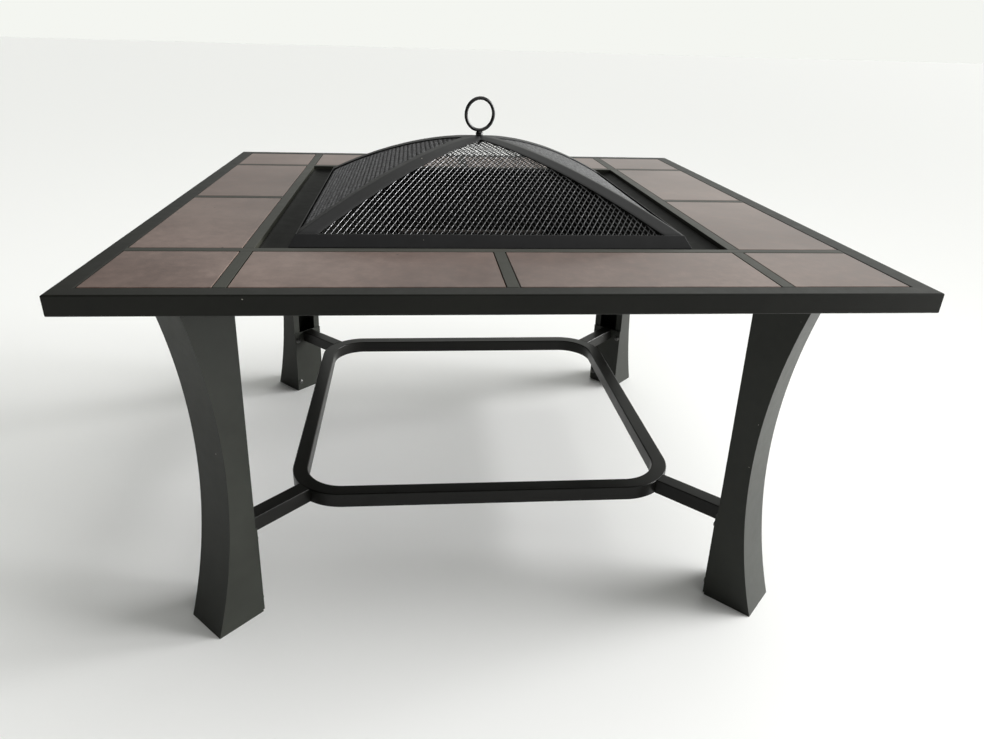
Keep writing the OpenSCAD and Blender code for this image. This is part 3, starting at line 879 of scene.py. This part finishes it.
def points_with_axes(places, axes):
    """A mesh of points that each carry an axis for the fixings' tree."""
    points = bpy.data.meshes.new("places")
    points.from_pydata(places, [], [])
    attribute = points.attributes.new("axis", "FLOAT_VECTOR", "POINT")
    attribute.data.foreach_set("vector", [x for axis in axes for x in axis])
    return points


def stand_on(name, node, unit_mesh, axis_at, seed):
    """Stands a fixing on every place of a measured node, and replaces the node."""
    places = head_ends(node, axis_at)
    points = points_with_axes([p for p, _, _ in places], [axis for _, axis, _ in places])
    unit = bpy.data.objects.new("unit", unit_mesh)
    mesh = grown(fixings, {"Fixing": unit, "Seed": seed, "Steel": fixing_steel}, points)
    bpy.data.objects.remove(unit)
    made = piece(name, mesh, nodes[node]["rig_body"], fixing_steel, [node])
    print(name, "places:", len(places), "length in mm:", round(places[0][2] / MM, 1))
    return made


fixings = fixings_tree()
LEAN_IN, LEAN_OVER = 12, 420
leg_lean = math.atan(LEAN_IN / LEAN_OVER)


def into_plate(middle):
    """The way a foot plate screw's head faces: inwards, square to the leaning plate."""
    corner = Vector((math.copysign(1, middle.x), math.copysign(1, middle.y), 0)).normalized()
    return (-corner * math.cos(leg_lean) + Vector((0, 0, -math.sin(leg_lean)))).normalized()


stand_on("foot_screws", "foot_plate_screws", screw_mesh(9 * MM, 2.5 * MM, 5 * MM, 11.5 * MM),
         into_plate, 3)
stand_on("leg_bolts_and_nuts", "leg_bolts", bolt_mesh(10 * MM, 5 * MM, 6 * MM, 16 * MM),
         lambda middle: Vector((0, 0, 1)), 8)

# %% [markdown]
# ## Log grate by Geometry Nodes
# Seven bars lie across two rails on four feet, all from one round bar with its
# ends dressed by a grinder. Three point lists with an axis each are enough for
# the tree above to place them, so the grate is grown by the same tree.

# %% Log grate
grate_low, grate_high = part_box("log_grate")
ROD = 8 * MM
grate_side = grate_high.x - grate_low.x
rail_out = grate_side / 2 - 30 * MM
bar_level = grate_high.z - ROD / 2
rail_level = bar_level - ROD + 0.8 * MM


def round_bar(length):
    """A round bar along Z from 0 down, with dressed ends."""
    edge = 1 * MM
    return as_mesh(turned([(0, 0), (ROD / 2 - edge, 0), (ROD / 2 - 0.3 * edge, -0.3 * edge), (ROD / 2, -edge),
                           (ROD / 2, -length + edge), (ROD / 2 - 0.3 * edge, -length + 0.3 * edge),
                           (ROD / 2 - edge, -length), (0, -length)], steps=20))


def bars(places, axis, length):
    """Equal bars that start at the given places and run against the axis."""
    points = points_with_axes(places, [axis] * len(places))
    unit = bpy.data.objects.new("unit", round_bar(length))
    mesh = grown(fixings, {"Fixing": unit, "Seed": 1, "Steel": grate_iron}, points)
    bpy.data.objects.remove(unit)
    shape = bmesh.new()
    shape.from_mesh(mesh)
    return shape


pitch = (grate_side - ROD) / 6
cross_bars = [(grate_side / 2, (i - 3) * pitch, bar_level) for i in range(7)]
rails = [(x * rail_out, grate_side / 2, rail_level) for x in (-1, 1)]
feet = [(x * rail_out, y * (grate_side / 2 - ROD), rail_level) for x in (-1, 1) for y in (-1, 1)]
grate = joined(bars(cross_bars, (1, 0, 0), grate_side), bars(rails, (0, 1, 0), grate_side),
               bars(feet, (0, 0, 1), rail_level - grate_low.z))
piece("welded_log_grate", grate, "grate", grate_iron, ["log_grate"])
print("grate bars:", len(cross_bars), "side in mm:", round(grate_side / MM))

# %% [markdown]
# ## Lift ring
# A ring of round wire is welded to a turned collar, and a stud with a nut holds
# both to the dome. The ring is a circle swept along a circle, and the collar and
# stud are one turned profile.

# %% Ring, collar and nut
ring_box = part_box("lift_ring")
WIRE = 4.5 * MM
RING_OUT = 45 * MM / 2
RING_TURN = math.radians(20)
collar_top = rib_high + 6 * MM


def wire_ring(major, minor, centre, turn):
    """A round wire bent to an upright ring."""
    shape = bmesh.new()
    around, across = 72, 16
    grid = []
    for i in range(around):
        a = 2 * math.pi * i / around
        row = []
        for k in range(across):
            b = 2 * math.pi * k / across
            out = major + minor * math.cos(b)
            row.append(shape.verts.new((out * math.cos(a), minor * math.sin(b), out * math.sin(a))))
        grid.append(row)
    for i in range(around):
        for k in range(across):
            shape.faces.new((grid[i][k], grid[(i + 1) % around][k],
                             grid[(i + 1) % around][(k + 1) % across], grid[i][(k + 1) % across]))
    bmesh.ops.rotate(shape, verts=shape.verts, matrix=Matrix.Rotation(turn, 3, "Z"))
    bmesh.ops.translate(shape, verts=shape.verts, vec=centre)
    return shape


ring_centre = Vector((0, 0, ring_box[1].z - RING_OUT))
collar = turned([(0, collar_top), (2.6 * MM, collar_top), (4.0 * MM, collar_top - 0.9 * MM),
                 (5 * MM, collar_top - 2.4 * MM), (5 * MM, rib_high + 0.9 * MM), (4.2 * MM, rib_high),
                 (3 * MM, rib_high), (3 * MM, ring_box[0].z + 0.5 * MM), (2.5 * MM, ring_box[0].z),
                 (0, ring_box[0].z)], steps=32)
lift = joined(wire_ring(RING_OUT - WIRE / 2, WIRE / 2, ring_centre, RING_TURN), collar)
piece("lift_ring_and_collar", lift, "screen", handle_coat, ["lift_ring"])
worked("ring_nut", handle_coat, 0.3 * MM)
print("ring centre height in mm:", round(ring_centre.z / MM, 1))

# %% [markdown]
# ## Floor and light
# A plain pale floor, a soft room that is brighter to the right and behind, and
# three lights: a low, broad sun from the right, a small soft lamp close to the
# right hand legs, and one overhead. A low sun lights upright faces far more than
# level ones, so the legs gain shape while the tiles stay calm.

# %% Floor and lights
floor_mesh = bpy.data.meshes.new("floor")
FLOOR_HALF = 40
floor_mesh.from_pydata([(x * FLOOR_HALF, y * FLOOR_HALF, 0) for x, y in ((-1, -1), (1, -1), (1, 1), (-1, 1))],
                       [], [(0, 1, 2, 3)])
floor_paint = bpy.data.materials.new("pale_floor")
floor_paint.use_nodes = True
floor_paint.node_tree.nodes["Principled BSDF"].inputs["Base Color"].default_value = (0.94, 0.94, 0.93, 1)
floor_paint.node_tree.nodes["Principled BSDF"].inputs["Roughness"].default_value = 0.9
floor_mesh.materials.append(floor_paint)
ground = bpy.data.objects.new("floor", floor_mesh)
bpy.context.scene.collection.objects.link(ground)

# The room is bright to the right and behind, and dim to the front left.
BRIGHT_WAY = (0.75, 0.45, 0.49)
world = bpy.data.worlds.new("sky")
world.use_nodes = True
room = world.node_tree
looking = add(room, "ShaderNodeTexCoord").outputs["Generated"]
facing = add(room, "ShaderNodeVectorMath", {0: looking, 1: BRIGHT_WAY},
             operation="DOT_PRODUCT").outputs["Value"]
glow = add(room, "ShaderNodeMapRange", {"Value": facing, "From Min": 0.0, "From Max": 1.0,
                                        "To Min": 0.06, "To Max": 1.15}).outputs[0]
seen = add(room, "ShaderNodeLightPath").outputs["Is Camera Ray"]
strength = add(room, "ShaderNodeMix", {0: seen, 2: glow, 3: 0.92}, data_type="FLOAT").outputs[0]
room.links.new(strength, room.nodes["Background"].inputs["Strength"])
room.nodes["Background"].inputs["Color"].default_value = (0.985, 1.0, 0.955, 1)
bpy.context.scene.world = world
bpy.context.scene.view_settings.view_transform = "Standard"


def soft_lamp(name, place, target, size, power):
    """A square soft lamp that faces a target."""
    lamp = bpy.data.objects.new(name, bpy.data.lights.new(name, "AREA"))
    lamp.data.size = size
    lamp.data.energy = power
    lamp.location = place
    lamp.rotation_euler = (Vector(target) - Vector(place)).to_track_quat("-Z", "Y").to_euler()
    bpy.context.scene.collection.objects.link(lamp)
    return lamp


sun = bpy.data.objects.new("key", bpy.data.lights.new("key", "SUN"))
sun.data.energy = 7.5
sun.data.angle = math.radians(40)
sun.rotation_euler = Vector((-1, -0.05, -0.16)).to_track_quat("-Z", "Y").to_euler()
bpy.context.scene.collection.objects.link(sun)
soft_lamp("leg side", (1.35, -0.6, 0.4), (0.33, -0.33, 0.2), 0.7, 6)
soft_lamp("top", (0.3, -0.4, 2.8), (0, 0, 0.2), 2.4, 15)
print("lamps:", len(bpy.data.lights))
